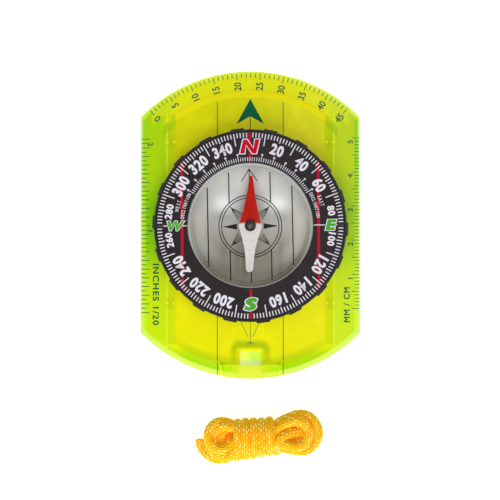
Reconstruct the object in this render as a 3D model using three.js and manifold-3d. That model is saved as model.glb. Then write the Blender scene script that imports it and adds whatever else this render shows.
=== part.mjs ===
// Baseplate compass: a fluorescent acrylic plate with ruler edges, a turning bezel that carries
// a liquid-filled capsule, a needle on a pivot inside it, and a lanyard wound into a hank.
//
// Units are millimetres. The origin is on the dial's axis, in the plane on which the compass
// rests. +Z is up, and +Y points the way the direction-of-travel arrow does.

import * as THREE from "three";
import { mergeVertices } from "three/addons/utils/BufferGeometryUtils.js";
import Module from "manifold-3d";

const wasm = await Module();
wasm.setup();

// ---------- driving dimensions ----------

const ROUND = 60; // facets of the large round pieces
const PLATE_ROUND = 80; // facets of the plate's round ends, if they went all the way round
const SMALL_ROUND = 20; // facets of pins, feet and other small round pieces
const SLIDE_GAP = 0.3; // running clearance between pieces that turn against each other
const SEAT_GAP = 0.1; // clearance between pieces that are seated on each other
const BEYOND = 1; // how far a cutting tool reaches past the face that it cuts

// Baseplate: a disc cut off by two straight ruler edges, with a raised middle.
const PLATE_RADIUS = 45.05;
const PLATE_CENTRE_Y = 0.45; // middle of the two round ends, a little ahead of the dial's axis
const PLATE_HALF_WIDTH = 32.1;
const FOOT_STAND = 0.6; // height of the plate's underside above the table
const EDGE_TOP = 2.4; // top of the thin ruler edge
const LEDGE_TOP = 2.9; // top of the ledge where it meets the slope of the raised middle
const PLATEAU_TOP = 4.2;
const PLATE_CHAMFER = 0.3; // round the underside
const SIDE_PLATEAU = 21.7; // half width of the raised middle
const SIDE_LEDGE = 24.3; // half width at the foot of its slope
const NORTH_PLATEAU = 37.8; // radius of the raised middle at the arrow end
const NORTH_LEDGE = 39.5;
const SOUTH_PLATEAU = 41.0; // and at the lanyard end
const SOUTH_LEDGE = 42.6;

// Lanyard slot and the low bar that the cord wraps round.
const SLOT_WIDTH = 6.3;
const SLOT_NORTH = -36.4;
const SLOT_SOUTH = -40.7;
const SLOT_CORNER = 0.5;
const SLOT_CHAMFER = 0.75; // at the north end; the sides have less
const SLOT_SIDE_CHAMFER = 0.35;
const BAR_TOP = 2.1;
const BAR_HALF_WIDTH = 7.7; // at the foot of the step's sloping side walls
const BAR_HALF_MOUTH = 9.1; // and at their top
const CORD_CHANNEL_TOP = 1.7; // bottom of the shallow channel for the cord, across the bar

// A round moulding mark in the underside.
const MARK_X = 5.3;
const MARK_Y = -31.3;
const MARK_RADIUS = 2.9;
const MARK_DEPTH = 0.15;

// Feet: silicone pads, each in a blind pocket in the underside.
const FOOT_X = 23.3;
const FOOT_NORTH = 24.7;
const FOOT_SOUTH = -22.5;
const FOOT_RADIUS = 1.35;
const FOOT_FLAT = 0.95; // radius of the flat on which a foot stands
const FOOT_POCKET_DEPTH = 0.6;

// Bezel: the grip ring with its skirt through the plate.
const BEZEL_RADIUS = 28.0;
const LOBE_RADIUS = 28.5;
const LOBES = 18;
const LOBE_OFFSET = 12.2; // degrees clockwise from north to the middle of the first lobe
const LOBE_WIDTH = 9.4; // degrees
const LOBE_RAMP = 1.1; // degrees from the foot of a lobe's flank to its top
const BEZEL_BOTTOM = PLATEAU_TOP + SLIDE_GAP;
const BEZEL_TOP = 8.3;
const LOBE_TOP = 7.7;
const BEZEL_CHAMFER = 0.35;
const FACE_RADIUS = 27.3;
const FACE_BOTTOM = 7.85;
const SKIRT_INNER = 19.15;
const SKIRT_OUTER = 19.95;
const SKIRT_BOTTOM = 0.8;
const CAPSULE_SEAT = 6.2; // shoulder on which the capsule's flange sits
const CAPSULE_SEAT_RADIUS = 20.25;

// Retaining ring and friction ring, in a counterbore under the plate.
const BORE_RADIUS = SKIRT_OUTER + SLIDE_GAP;
const COUNTERBORE_RADIUS = 22.9;
const COUNTERBORE_TOP = 2.1;
const GROOVE_RADIUS = 19.55;
const RETAINER_OUTER = 22.5;
const RETAINER_BOTTOM = 1.0;
const RETAINER_TOP = 1.55;
const FRICTION_INNER = 20.7;
const FRICTION_OUTER = 22.3;

// Capsule: cup, silvered rose disc and lens.
const CUP_RADIUS = SKIRT_INNER - SEAT_GAP * 1.5;
const CUP_INNER = 18.0;
const CUP_BOTTOM = 1.1;
const FLOOR_TOP = 2.0;
const FLANGE_RADIUS = CAPSULE_SEAT_RADIUS - SEAT_GAP * 1.5;
const CUP_TOP = 7.1;
const WINDOW_RADIUS = 18.3;
const LENS_SHOULDER = 18.1;
const LENS_FLANGE_TOP = FACE_BOTTOM - SEAT_GAP;
const LENS_EDGE_TOP = 8.6;
const LENS_TOP = 9.4;
const LENS_CROWN_RADIUS = 16.9; // where the rounded shoulder meets the crowned top
const LENS_INNER = 17.2;
const LENS_HOLLOW_TOP = 8.1;
const ROSE_RADIUS = 17.7;
const ROSE_THICKNESS = 0.3;
const BOSS_RADIUS = 1.4;
const BOSS_TOP = 3.2;
const PLUG_RADIUS = 0.9;
const PLUG_X = 14.5;

// Pivot pin, needle, hub and bearing.
const PIN_RADIUS = 0.4;
const PIN_BOTTOM = 1.6;
const PIN_SHOULDER = 5.6;
const PIN_TIP = 6.2;
const NEEDLE_HEADING = 1.1; // degrees clockwise from north at rest
const BLADE_BOTTOM = 5.65;
const BLADE_THICKNESS = 0.25;
const BLADE_NORTH = 14.6;
const BLADE_SOUTH = 13.5;
const HUB_RADIUS = 1.62;
const HUB_NECK = 1.1;
const HUB_TOP = 6.65;
const BEARING_RADIUS = 0.75;
const BEARING_CUP = 0.52;
const JEWEL_RADIUS = 0.45;
const JEWEL_TOP = 6.5;

// Lanyard hank: a dumb-bell of wound cord lying beyond the lanyard end.
const HANK_X = 2.55; // middle of the line between the centres of its two looped ends
const HANK_Y = -61.45;
const HANK_TURN = 6; // degrees anticlockwise
const HANK_CENTRES = 23.6; // between those centres
const HANK_LEFT_RADIUS = 6.6;
const HANK_RIGHT_RADIUS = 7.0;
const HANK_WAIST = 11.6; // width of the wrapped middle
const HANK_HEIGHT = 11.2;

// ---------- materials ----------

const plastic = (color, roughness) => new THREE.MeshStandardMaterial({ color, roughness, metalness: 0 });
const metal = (color, roughness) => new THREE.MeshStandardMaterial({ color, roughness, metalness: 1 });

const ACRYLIC = plastic(0xdfe600, 0.12);
const SILICONE = plastic(0xe4ec60, 0.45);
const BLACK_GRIP = plastic(0x1b1a1b, 0.5);
const BLACK_FACE = plastic(0x2b2829, 0.45);
const CLEAR = plastic(0xe8ecec, 0.05);
const CAPSULE_BODY = plastic(0xb9bcba, 0.25);
const SILVERED = metal(0xc4c4c2, 0.3);
const RUBBER = plastic(0x151515, 0.8);
const NYLON = plastic(0x222222, 0.6);
const STEEL = metal(0xb8b8b8, 0.3);
const BRASS = metal(0xb0966a, 0.35);
const WHITE_PAINT = plastic(0xe4e2e0, 0.35);
const RUBY = plastic(0xa01830, 0.05);
const HUB_BLACK = plastic(0x111111, 0.35);
const YELLOW_CORD = plastic(0xffb400, 0.85);

// ---------- making and joining solids ----------

// A closed geometry as a manifold-3d solid.
function solid(geometry) {
  const bare = geometry.index ? geometry.toNonIndexed() : geometry.clone();
  bare.deleteAttribute("normal");
  bare.deleteAttribute("uv");
  const merged = mergeVertices(bare, 1e-4);
  return new wasm.Manifold(
    new wasm.Mesh({
      numProp: 3,
      vertProperties: new Float32Array(merged.attributes.position.array),
      triVerts: new Uint32Array(merged.index.array),
    }),
  );
}

// A manifold-3d solid as a geometry that three.js can draw.
function geometryOf(made) {
  const { numVert, numProp, vertProperties, triVerts } = made.getMesh();
  const position = new Float32Array(numVert * 3);
  for (let i = 0; i < numVert; i++) {
    position.set(vertProperties.subarray(i * numProp, i * numProp + 3), i * 3);
  }
  return new THREE.BufferGeometry()
    .setAttribute("position", new THREE.BufferAttribute(position, 3))
    .setIndex(new THREE.BufferAttribute(triVerts, 1));
}

// A named piece made of one solid.
function piece(name, made, material) {
  const mesh = new THREE.Mesh(geometryOf(made), material);
  mesh.name = name;
  return mesh;
}

// A solid of revolution about Z. The profile is a closed loop of [radius, height], anticlockwise.
function turned(profile, facets = ROUND) {
  const points = [...profile, profile[0]].map(([r, z]) => new THREE.Vector2(r, z));
  return solid(new THREE.LatheGeometry(points, facets).rotateX(Math.PI / 2));
}

// A round bar or a round hole's tool, from one height to another.
function bar(radius, bottom, top, facets = ROUND) {
  const height = top - bottom;
  return solid(
    new THREE.CylinderGeometry(radius, radius, height, facets)
      .rotateX(Math.PI / 2)
      .translate(0, 0, bottom + height / 2),
  );
}

// A flat ring between two radii and two heights.
function ring(inner, outer, bottom, top, facets = ROUND) {
  return turned([[inner, bottom], [outer, bottom], [outer, top], [inner, top]], facets);
}

// A shape in the XY plane, raised from one height to another.
function prism(shape, bottom, top, curveSegments = 12) {
  const settings = { depth: top - bottom, bevelEnabled: false, curveSegments };
  return solid(new THREE.ExtrudeGeometry(shape, settings).translate(0, 0, bottom));
}

// A box between two corners.
function block(low, high) {
  const size = high.map((value, i) => value - low[i]);
  const middle = high.map((value, i) => (value + low[i]) / 2);
  return solid(new THREE.BoxGeometry(...size).translate(...middle));
}

// A rectangle with rounded corners, in the XY plane.
function roundedRectangle(left, bottom, right, top, corner) {
  const shape = new THREE.Shape();
  shape.moveTo(left + corner, bottom);
  shape.lineTo(right - corner, bottom);
  shape.absarc(right - corner, bottom + corner, corner, -Math.PI / 2, 0);
  shape.lineTo(right, top - corner);
  shape.absarc(right - corner, top - corner, corner, 0, Math.PI / 2);
  shape.lineTo(left + corner, top);
  shape.absarc(left + corner, top - corner, corner, Math.PI / 2, Math.PI);
  shape.lineTo(left, bottom + corner);
  shape.absarc(left + corner, bottom + corner, corner, Math.PI, 1.5 * Math.PI);
  return shape;
}

// ---------- baseplate ----------

// The half of the plate on one side of the dial, +1 towards the arrow end and -1 towards the
// lanyard end: half of a turned disc with its ledge, slope and raised middle.
function plateHalf(plateau, ledge, towards) {
  const disc = turned(
    [
      [0, FOOT_STAND],
      [PLATE_RADIUS - PLATE_CHAMFER, FOOT_STAND],
      [PLATE_RADIUS, FOOT_STAND + PLATE_CHAMFER],
      [PLATE_RADIUS, EDGE_TOP],
      [ledge, LEDGE_TOP],
      [plateau, PLATEAU_TOP],
      [0, PLATEAU_TOP],
    ],
    PLATE_ROUND,
  );
  const reach = PLATE_RADIUS + BEYOND;
  const lap = BEYOND; // the two halves lap here, where both are flat
  const half = block(
    [-reach, towards > 0 ? -lap : -reach, 0],
    [reach, towards > 0 ? reach : lap, PLATEAU_TOP + BEYOND],
  );
  return disc.intersect(half).translate(0, PLATE_CENTRE_Y, 0);
}

// A long bar with the plate's section from one ruler edge to the other.
function plateBar() {
  const east = [
    [PLATE_HALF_WIDTH - PLATE_CHAMFER, FOOT_STAND],
    [PLATE_HALF_WIDTH, FOOT_STAND + PLATE_CHAMFER],
    [PLATE_HALF_WIDTH, EDGE_TOP],
    [SIDE_LEDGE, LEDGE_TOP],
    [SIDE_PLATEAU, PLATEAU_TOP],
  ];
  const west = east.map(([x, z]) => [-x, z]).reverse();
  const section = new THREE.Shape([...east, ...west].map(([x, z]) => new THREE.Vector2(x, z)));
  const length = 2 * (PLATE_RADIUS + BEYOND);
  const settings = { depth: length, bevelEnabled: false };
  return solid(
    new THREE.ExtrudeGeometry(section, settings).rotateX(Math.PI / 2).translate(0, length / 2, 0),
  );
}

// The lanyard slot, with a chamfer round its mouth.
function slotCut() {
  const half = SLOT_WIDTH / 2;
  const through = prism(
    roundedRectangle(-half, SLOT_SOUTH, half, SLOT_NORTH, SLOT_CORNER),
    -BEYOND,
    PLATEAU_TOP + BEYOND,
    2,
  );
  const inset = SLOT_CHAMFER - SLOT_SIDE_CHAMFER;
  const mouthShape = roundedRectangle(
    inset - half,
    SLOT_SOUTH + SLOT_CHAMFER,
    half - inset,
    SLOT_NORTH,
    SLOT_CORNER,
  );
  const mouth = new THREE.ExtrudeGeometry(mouthShape, {
    depth: BEYOND,
    bevelThickness: SLOT_CHAMFER,
    bevelSize: SLOT_CHAMFER,
    bevelSegments: 1,
    curveSegments: 2,
  });
  return through.add(solid(mouth.translate(0, 0, PLATEAU_TOP)));
}

// The step that leaves the bar low, with sloping side walls, so that a cord tied round the bar
// lies within the plate's height.
function barCut() {
  const outside = PLATE_RADIUS + BEYOND;
  const above = PLATEAU_TOP + BEYOND;
  const slope = (BAR_HALF_MOUTH - BAR_HALF_WIDTH) / (PLATEAU_TOP - BAR_TOP);
  const mouth = BAR_HALF_WIDTH + slope * (above - BAR_TOP);
  const section = new THREE.Shape();
  section.moveTo(-BAR_HALF_WIDTH, BAR_TOP);
  section.lineTo(BAR_HALF_WIDTH, BAR_TOP);
  section.lineTo(mouth, above);
  section.lineTo(-mouth, above);
  const settings = { depth: outside, bevelEnabled: false };
  const trough = solid(new THREE.ExtrudeGeometry(section, settings).rotateX(Math.PI / 2));
  return ring(SOUTH_PLATEAU, outside, BAR_TOP, above)
    .translate(0, PLATE_CENTRE_Y, 0)
    .intersect(trough);
}

// The channel across the bar, as wide as the slot.
function channelCut() {
  return block(
    [-SLOT_WIDTH / 2, -PLATE_RADIUS - BEYOND, CORD_CHANNEL_TOP],
    [SLOT_WIDTH / 2, SLOT_SOUTH + SLOT_CORNER, PLATEAU_TOP + BEYOND],
  );
}

function footPlaces() {
  return [
    ["front_left", -FOOT_X, FOOT_NORTH],
    ["front_right", FOOT_X, FOOT_NORTH],
    ["rear_left", -FOOT_X, FOOT_SOUTH],
    ["rear_right", FOOT_X, FOOT_SOUTH],
  ];
}

function baseplate() {
  const cuts = [
    slotCut(),
    barCut(),
    channelCut(),
    bar(MARK_RADIUS, -BEYOND, FOOT_STAND + MARK_DEPTH, 32).translate(MARK_X, MARK_Y, 0),
    bar(BORE_RADIUS, -BEYOND, PLATEAU_TOP + BEYOND),
    bar(COUNTERBORE_RADIUS, -BEYOND, COUNTERBORE_TOP),
    ...footPlaces().map(([, x, y]) =>
      bar(
        FOOT_RADIUS + SEAT_GAP,
        -BEYOND,
        FOOT_STAND + FOOT_POCKET_DEPTH,
        SMALL_ROUND,
      ).translate(x, y, 0),
    ),
  ];
  const disc = plateHalf(NORTH_PLATEAU, NORTH_LEDGE, 1).add(
    plateHalf(SOUTH_PLATEAU, SOUTH_LEDGE, -1),
  );
  const blank = disc.intersect(plateBar());
  const made = cuts.reduce((left, cut) => left.subtract(cut), blank);
  return piece("baseplate", made, ACRYLIC);
}

// A pad with a rounded rim round the flat that it stands on.
function footPad([place, x, y]) {
  const round = FOOT_RADIUS - FOOT_FLAT;
  const steps = [0, 30, 60, 90].map(THREE.MathUtils.degToRad);
  const rim = steps.map((a) => [FOOT_FLAT + round * Math.sin(a), round * (1 - Math.cos(a))]);
  const top = FOOT_STAND + FOOT_POCKET_DEPTH - SEAT_GAP;
  const profile = [[0, 0], ...rim, [FOOT_RADIUS, top], [0, top]];
  return piece(`foot_pad_${place}`, turned(profile, SMALL_ROUND).translate(x, y, 0), SILICONE);
}

function frictionRing() {
  const bottom = RETAINER_TOP + SEAT_GAP;
  const top = COUNTERBORE_TOP - SEAT_GAP;
  return piece("friction_ring", ring(FRICTION_INNER, FRICTION_OUTER, bottom, top), RUBBER);
}

// ---------- bezel and dial ----------

// The grip outline: a circle with evenly spaced lobes, each with sloped flanks.
function gripOutline() {
  const pitch = 360 / LOBES;
  const half = LOBE_WIDTH / 2;
  const foot = BEZEL_RADIUS - 0.2;
  const points = [];
  for (let lobe = LOBES - 1; lobe >= 0; lobe--) {
    const middle = LOBE_OFFSET + lobe * pitch;
    points.push(
      [middle + half, foot],
      [middle + half - LOBE_RAMP, LOBE_RADIUS],
      [middle - half + LOBE_RAMP, LOBE_RADIUS],
      [middle - half, foot],
    );
  }
  return new THREE.Shape(
    points.map(([clockwise, radius]) => {
      const a = THREE.MathUtils.degToRad(90 - clockwise);
      return new THREE.Vector2(radius * Math.cos(a), radius * Math.sin(a));
    }),
  );
}

// The grip ring with its lobes, the recess for the face, the seat for the capsule, and the skirt.
function bezel() {
  const chamfer = BEZEL_CHAMFER;
  const lobes = new THREE.ExtrudeGeometry(gripOutline(), {
    depth: LOBE_TOP - BEZEL_BOTTOM - 2 * chamfer,
    bevelThickness: chamfer,
    bevelSize: chamfer,
    bevelOffset: -chamfer,
    bevelSegments: 1,
  });
  const body = turned([
    [SKIRT_INNER, SKIRT_BOTTOM],
    [SKIRT_OUTER, SKIRT_BOTTOM],
    [SKIRT_OUTER, BEZEL_BOTTOM],
    [BEZEL_RADIUS, BEZEL_BOTTOM],
    [BEZEL_RADIUS, BEZEL_TOP - chamfer],
    [BEZEL_RADIUS - chamfer, BEZEL_TOP],
    [FACE_RADIUS + SEAT_GAP, BEZEL_TOP],
    [FACE_RADIUS + SEAT_GAP, FACE_BOTTOM - SEAT_GAP],
    [CAPSULE_SEAT_RADIUS, FACE_BOTTOM - SEAT_GAP],
    [CAPSULE_SEAT_RADIUS, CAPSULE_SEAT],
    [SKIRT_INNER, CAPSULE_SEAT],
  ]);
  const groove = ring(
    GROOVE_RADIUS,
    SKIRT_OUTER + BEYOND,
    RETAINER_BOTTOM - SEAT_GAP,
    RETAINER_TOP + SEAT_GAP,
  );
  const within = bar(FACE_RADIUS + 0.2, 0, BEZEL_TOP + BEYOND);
  const grip = solid(lobes.translate(0, 0, BEZEL_BOTTOM + chamfer)).subtract(within);
  return piece("bezel", body.subtract(groove).add(grip), BLACK_GRIP);
}

function dialFace() {
  const edge = 0.15;
  const profile = [
    [WINDOW_RADIUS, FACE_BOTTOM],
    [FACE_RADIUS, FACE_BOTTOM],
    [FACE_RADIUS, BEZEL_TOP],
    [WINDOW_RADIUS + edge, BEZEL_TOP],
    [WINDOW_RADIUS, BEZEL_TOP - edge],
  ];
  return piece("dial_face", turned(profile), BLACK_FACE);
}

function retainingRing() {
  const made = ring(GROOVE_RADIUS + SEAT_GAP, RETAINER_OUTER, RETAINER_BOTTOM, RETAINER_TOP);
  return piece("retaining_ring", made, NYLON);
}

// ---------- capsule ----------

function capsuleCup() {
  const profile = [
    [0, CUP_BOTTOM],
    [CUP_RADIUS, CUP_BOTTOM],
    [CUP_RADIUS, CAPSULE_SEAT + SEAT_GAP],
    [FLANGE_RADIUS, CAPSULE_SEAT + SEAT_GAP],
    [FLANGE_RADIUS, CUP_TOP],
    [CUP_INNER, CUP_TOP],
    [CUP_INNER, FLOOR_TOP],
    [BOSS_RADIUS, FLOOR_TOP],
    [BOSS_RADIUS, BOSS_TOP],
    [0, BOSS_TOP],
  ];
  const made = turned(profile)
    .subtract(bar(PIN_RADIUS + SEAT_GAP / 2, PIN_BOTTOM - SEAT_GAP, BOSS_TOP + BEYOND, SMALL_ROUND))
    .subtract(bar(PLUG_RADIUS, 0, FLOOR_TOP + BEYOND, SMALL_ROUND).translate(PLUG_X, 0, 0));
  return piece("capsule_cup", made, CAPSULE_BODY);
}

// The plug that closes the hole through which the capsule is filled.
function fillPlug() {
  const made = bar(
    PLUG_RADIUS - SEAT_GAP / 2,
    CUP_BOTTOM + SEAT_GAP,
    FLOOR_TOP - SEAT_GAP,
    SMALL_ROUND,
  ).translate(PLUG_X, 0, 0);
  return piece("fill_plug", made, NYLON);
}

function roseDisc() {
  const bottom = FLOOR_TOP + SEAT_GAP;
  const made = ring(BOSS_RADIUS + SEAT_GAP, ROSE_RADIUS, bottom, bottom + ROSE_THICKNESS);
  return piece("rose_disc", made, SILVERED);
}

// A crowned window with a flange under the dial face and a shallow hollow above the needle.
function capsuleLens() {
  const crown = (radius, edge, top, r) => top - (top - edge) * (r / radius) ** 2;
  const share = [1, 0.7, 0.35];
  const crownEdge = LENS_EDGE_TOP + 0.35;
  const top = share.map((s) => {
    const r = s * LENS_CROWN_RADIUS;
    return [r, crown(LENS_CROWN_RADIUS, crownEdge, LENS_TOP, r)];
  });
  const bottom = CUP_TOP + SEAT_GAP;
  const hollowEdge = bottom + 0.3;
  const hollow = [1, 0.5].map((s) => {
    const r = s * LENS_INNER;
    return [r, crown(LENS_INNER, hollowEdge, LENS_HOLLOW_TOP, r)];
  });
  const profile = [
    [0, LENS_HOLLOW_TOP],
    ...hollow.reverse(),
    [LENS_INNER, bottom],
    [FLANGE_RADIUS, bottom],
    [FLANGE_RADIUS, LENS_FLANGE_TOP],
    [LENS_SHOULDER, LENS_FLANGE_TOP],
    [LENS_SHOULDER, LENS_EDGE_TOP - 0.25],
    [LENS_SHOULDER - 0.15, LENS_EDGE_TOP],
    [LENS_SHOULDER - 0.6, LENS_EDGE_TOP + 0.22],
    ...top,
    [0, LENS_TOP],
  ];
  return piece("capsule_lens", turned(profile), CLEAR);
}

// ---------- pivot and needle ----------

function pivotPin() {
  const profile = [
    [0, PIN_BOTTOM],
    [PIN_RADIUS, PIN_BOTTOM],
    [PIN_RADIUS, PIN_SHOULDER],
    [0.06, PIN_TIP],
    [0, PIN_TIP],
  ];
  return piece("pivot_pin", turned(profile, SMALL_ROUND), STEEL);
}

// Half of the blade's outline from the north tip to the south tip: [half width, distance north].
const BLADE_EDGE = [
  [0.36, BLADE_NORTH],
  [0.72, 12.4],
  [1.2, 9.1],
  [2.0, 4.9],
  [2.7, 2.4],
  [3.25, 0.5],
  [3.4, 0],
  [3.2, -0.8],
  [2.35, -3.6],
  [1.65, -6.4],
  [1.28, -9.2],
  [1.05, -12.4],
];

function needleBlade() {
  const tip = BLADE_EDGE.at(-1)[0];
  const roundTip = [-15, -30, -45, -60, -75, -90].map((degrees) => {
    const a = THREE.MathUtils.degToRad(degrees);
    return [tip * Math.cos(a), tip - BLADE_SOUTH + tip * Math.sin(a)];
  });
  const east = [...BLADE_EDGE, ...roundTip];
  const west = east.slice(0, -1).reverse().map(([x, y]) => [-x, y]);
  const shape = new THREE.Shape([...east, ...west].map(([x, y]) => new THREE.Vector2(x, y)));
  const made = prism(shape, BLADE_BOTTOM, BLADE_BOTTOM + BLADE_THICKNESS).subtract(
    bar(HUB_NECK + SEAT_GAP, 0, LENS_TOP, SMALL_ROUND),
  );
  return piece("needle_blade", made, WHITE_PAINT);
}

function needleHub() {
  const bottom = BLADE_BOTTOM - 0.25;
  const seat = BLADE_BOTTOM + BLADE_THICKNESS + SEAT_GAP;
  const bore = BEARING_RADIUS + SEAT_GAP / 2;
  const profile = [
    [bore, bottom],
    [HUB_NECK, bottom],
    [HUB_NECK, seat],
    [HUB_RADIUS, seat],
    [HUB_RADIUS, HUB_TOP - 0.25],
    [HUB_RADIUS - 0.25, HUB_TOP],
    [bore, HUB_TOP],
  ];
  return piece("needle_hub", turned(profile, SMALL_ROUND), HUB_BLACK);
}

// The brass cup that holds the jewel, open below.
function needleBearing() {
  const bottom = BLADE_BOTTOM - 0.2;
  const roof = JEWEL_TOP + SEAT_GAP / 2;
  const top = roof + 0.2;
  const profile = [
    [0, roof],
    [BEARING_CUP, roof],
    [BEARING_CUP, bottom],
    [BEARING_RADIUS, bottom],
    [BEARING_RADIUS, top - 0.12],
    [BEARING_RADIUS - 0.2, top],
    [0, top],
  ];
  return piece("needle_bearing", turned(profile, SMALL_ROUND), BRASS);
}

// The stone whose hollow underside runs on the pin's tip.
function needleJewel() {
  const profile = [
    [0, PIN_TIP + SEAT_GAP / 2],
    [0.25, PIN_TIP - 0.05],
    [JEWEL_RADIUS, PIN_TIP - 0.05],
    [JEWEL_RADIUS, JEWEL_TOP],
    [0, JEWEL_TOP],
  ];
  return piece("needle_jewel", turned(profile, 12), RUBY);
}

// ---------- lanyard ----------

// The hank's outer shape: two round looped ends and the wrapped waist between them.
function lanyardHank() {
  const waist = HANK_WAIST / 2;
  const reach = HANK_CENTRES / 2;
  const leftMeet = Math.asin(waist / HANK_LEFT_RADIUS);
  const rightMeet = Math.asin(waist / HANK_RIGHT_RADIUS);
  const shape = new THREE.Shape();
  shape.absarc(reach, 0, HANK_RIGHT_RADIUS, -Math.PI + rightMeet, Math.PI - rightMeet);
  shape.absarc(-reach, 0, HANK_LEFT_RADIUS, leftMeet, 2 * Math.PI - leftMeet);
  const round = 2.4;
  const made = solid(
    new THREE.ExtrudeGeometry(shape, {
      depth: HANK_HEIGHT - 2 * round,
      bevelThickness: round,
      bevelSize: round,
      bevelOffset: -round,
      bevelSegments: 2,
      curveSegments: 10,
    }).translate(0, 0, round),
  );
  const placed = made.rotate(0, 0, HANK_TURN).translate(HANK_X, HANK_Y, 0);
  return piece("lanyard_hank", placed, YELLOW_CORD);
}

// ---------- assembly ----------

const base = new THREE.Group();
base.add(baseplate(), ...footPlaces().map(footPad), frictionRing());

const dial = new THREE.Group();
dial.add(bezel(), dialFace(), retainingRing(), capsuleCup(), fillPlug(), roseDisc(), capsuleLens());
dial.add(pivotPin());

const needle = new THREE.Group();
needle.rotation.z = -THREE.MathUtils.degToRad(NEEDLE_HEADING);
needle.add(needleBlade(), needleHub(), needleBearing(), needleJewel());

const compass = new THREE.Group();
compass.add(base, dial, needle, lanyardHank());

export default compass;
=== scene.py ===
"""A baseplate compass with its lanyard: the looks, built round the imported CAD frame."""

import math

import bpy
from mathutils import Matrix, Vector, noise


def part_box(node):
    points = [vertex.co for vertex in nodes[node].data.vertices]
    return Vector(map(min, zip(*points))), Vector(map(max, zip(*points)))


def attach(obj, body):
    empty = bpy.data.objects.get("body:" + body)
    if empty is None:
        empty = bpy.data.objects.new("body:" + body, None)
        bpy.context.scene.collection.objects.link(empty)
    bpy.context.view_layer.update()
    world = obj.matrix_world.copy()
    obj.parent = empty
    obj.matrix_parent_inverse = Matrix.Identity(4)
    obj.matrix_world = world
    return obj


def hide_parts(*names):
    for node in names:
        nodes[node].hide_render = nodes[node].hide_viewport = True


MM = 0.001

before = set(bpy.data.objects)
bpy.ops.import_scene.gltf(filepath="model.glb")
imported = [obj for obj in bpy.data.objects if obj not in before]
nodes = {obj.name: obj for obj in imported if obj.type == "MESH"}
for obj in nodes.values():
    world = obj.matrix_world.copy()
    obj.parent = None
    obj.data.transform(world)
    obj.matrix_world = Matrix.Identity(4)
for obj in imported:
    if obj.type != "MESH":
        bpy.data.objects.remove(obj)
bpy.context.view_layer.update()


def top_of(node):
    """The height of a CAD node's highest point, in mm."""
    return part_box(node)[1].z / MM


# ---------- camera ----------

LENS = 150.0
SENSOR = 36.0
VIEW_WIDTH = 146.2  # mm across the picture, at the target
VIEW_TARGET = (-0.09, -6.95, 3.0)
CAMERA_ELEVATION = 88.0  # degrees


def make_camera():
    """A long lens above the compass, leaning slightly to the south."""
    data = bpy.data.cameras.new("camera")
    data.lens = LENS
    data.sensor_width = SENSOR
    data.clip_start = 0.01
    camera = bpy.data.objects.new("camera", data)
    bpy.context.scene.collection.objects.link(camera)
    target = Vector(VIEW_TARGET) * MM
    distance = VIEW_WIDTH * MM * LENS / SENSOR
    elevation = math.radians(CAMERA_ELEVATION)
    camera.location = target + distance * Vector((0, -math.cos(elevation), math.sin(elevation)))
    camera.rotation_euler = (math.pi / 2 - elevation, 0, 0)
    bpy.context.scene.camera = camera


make_camera()

# ---------- node trees ----------


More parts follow.
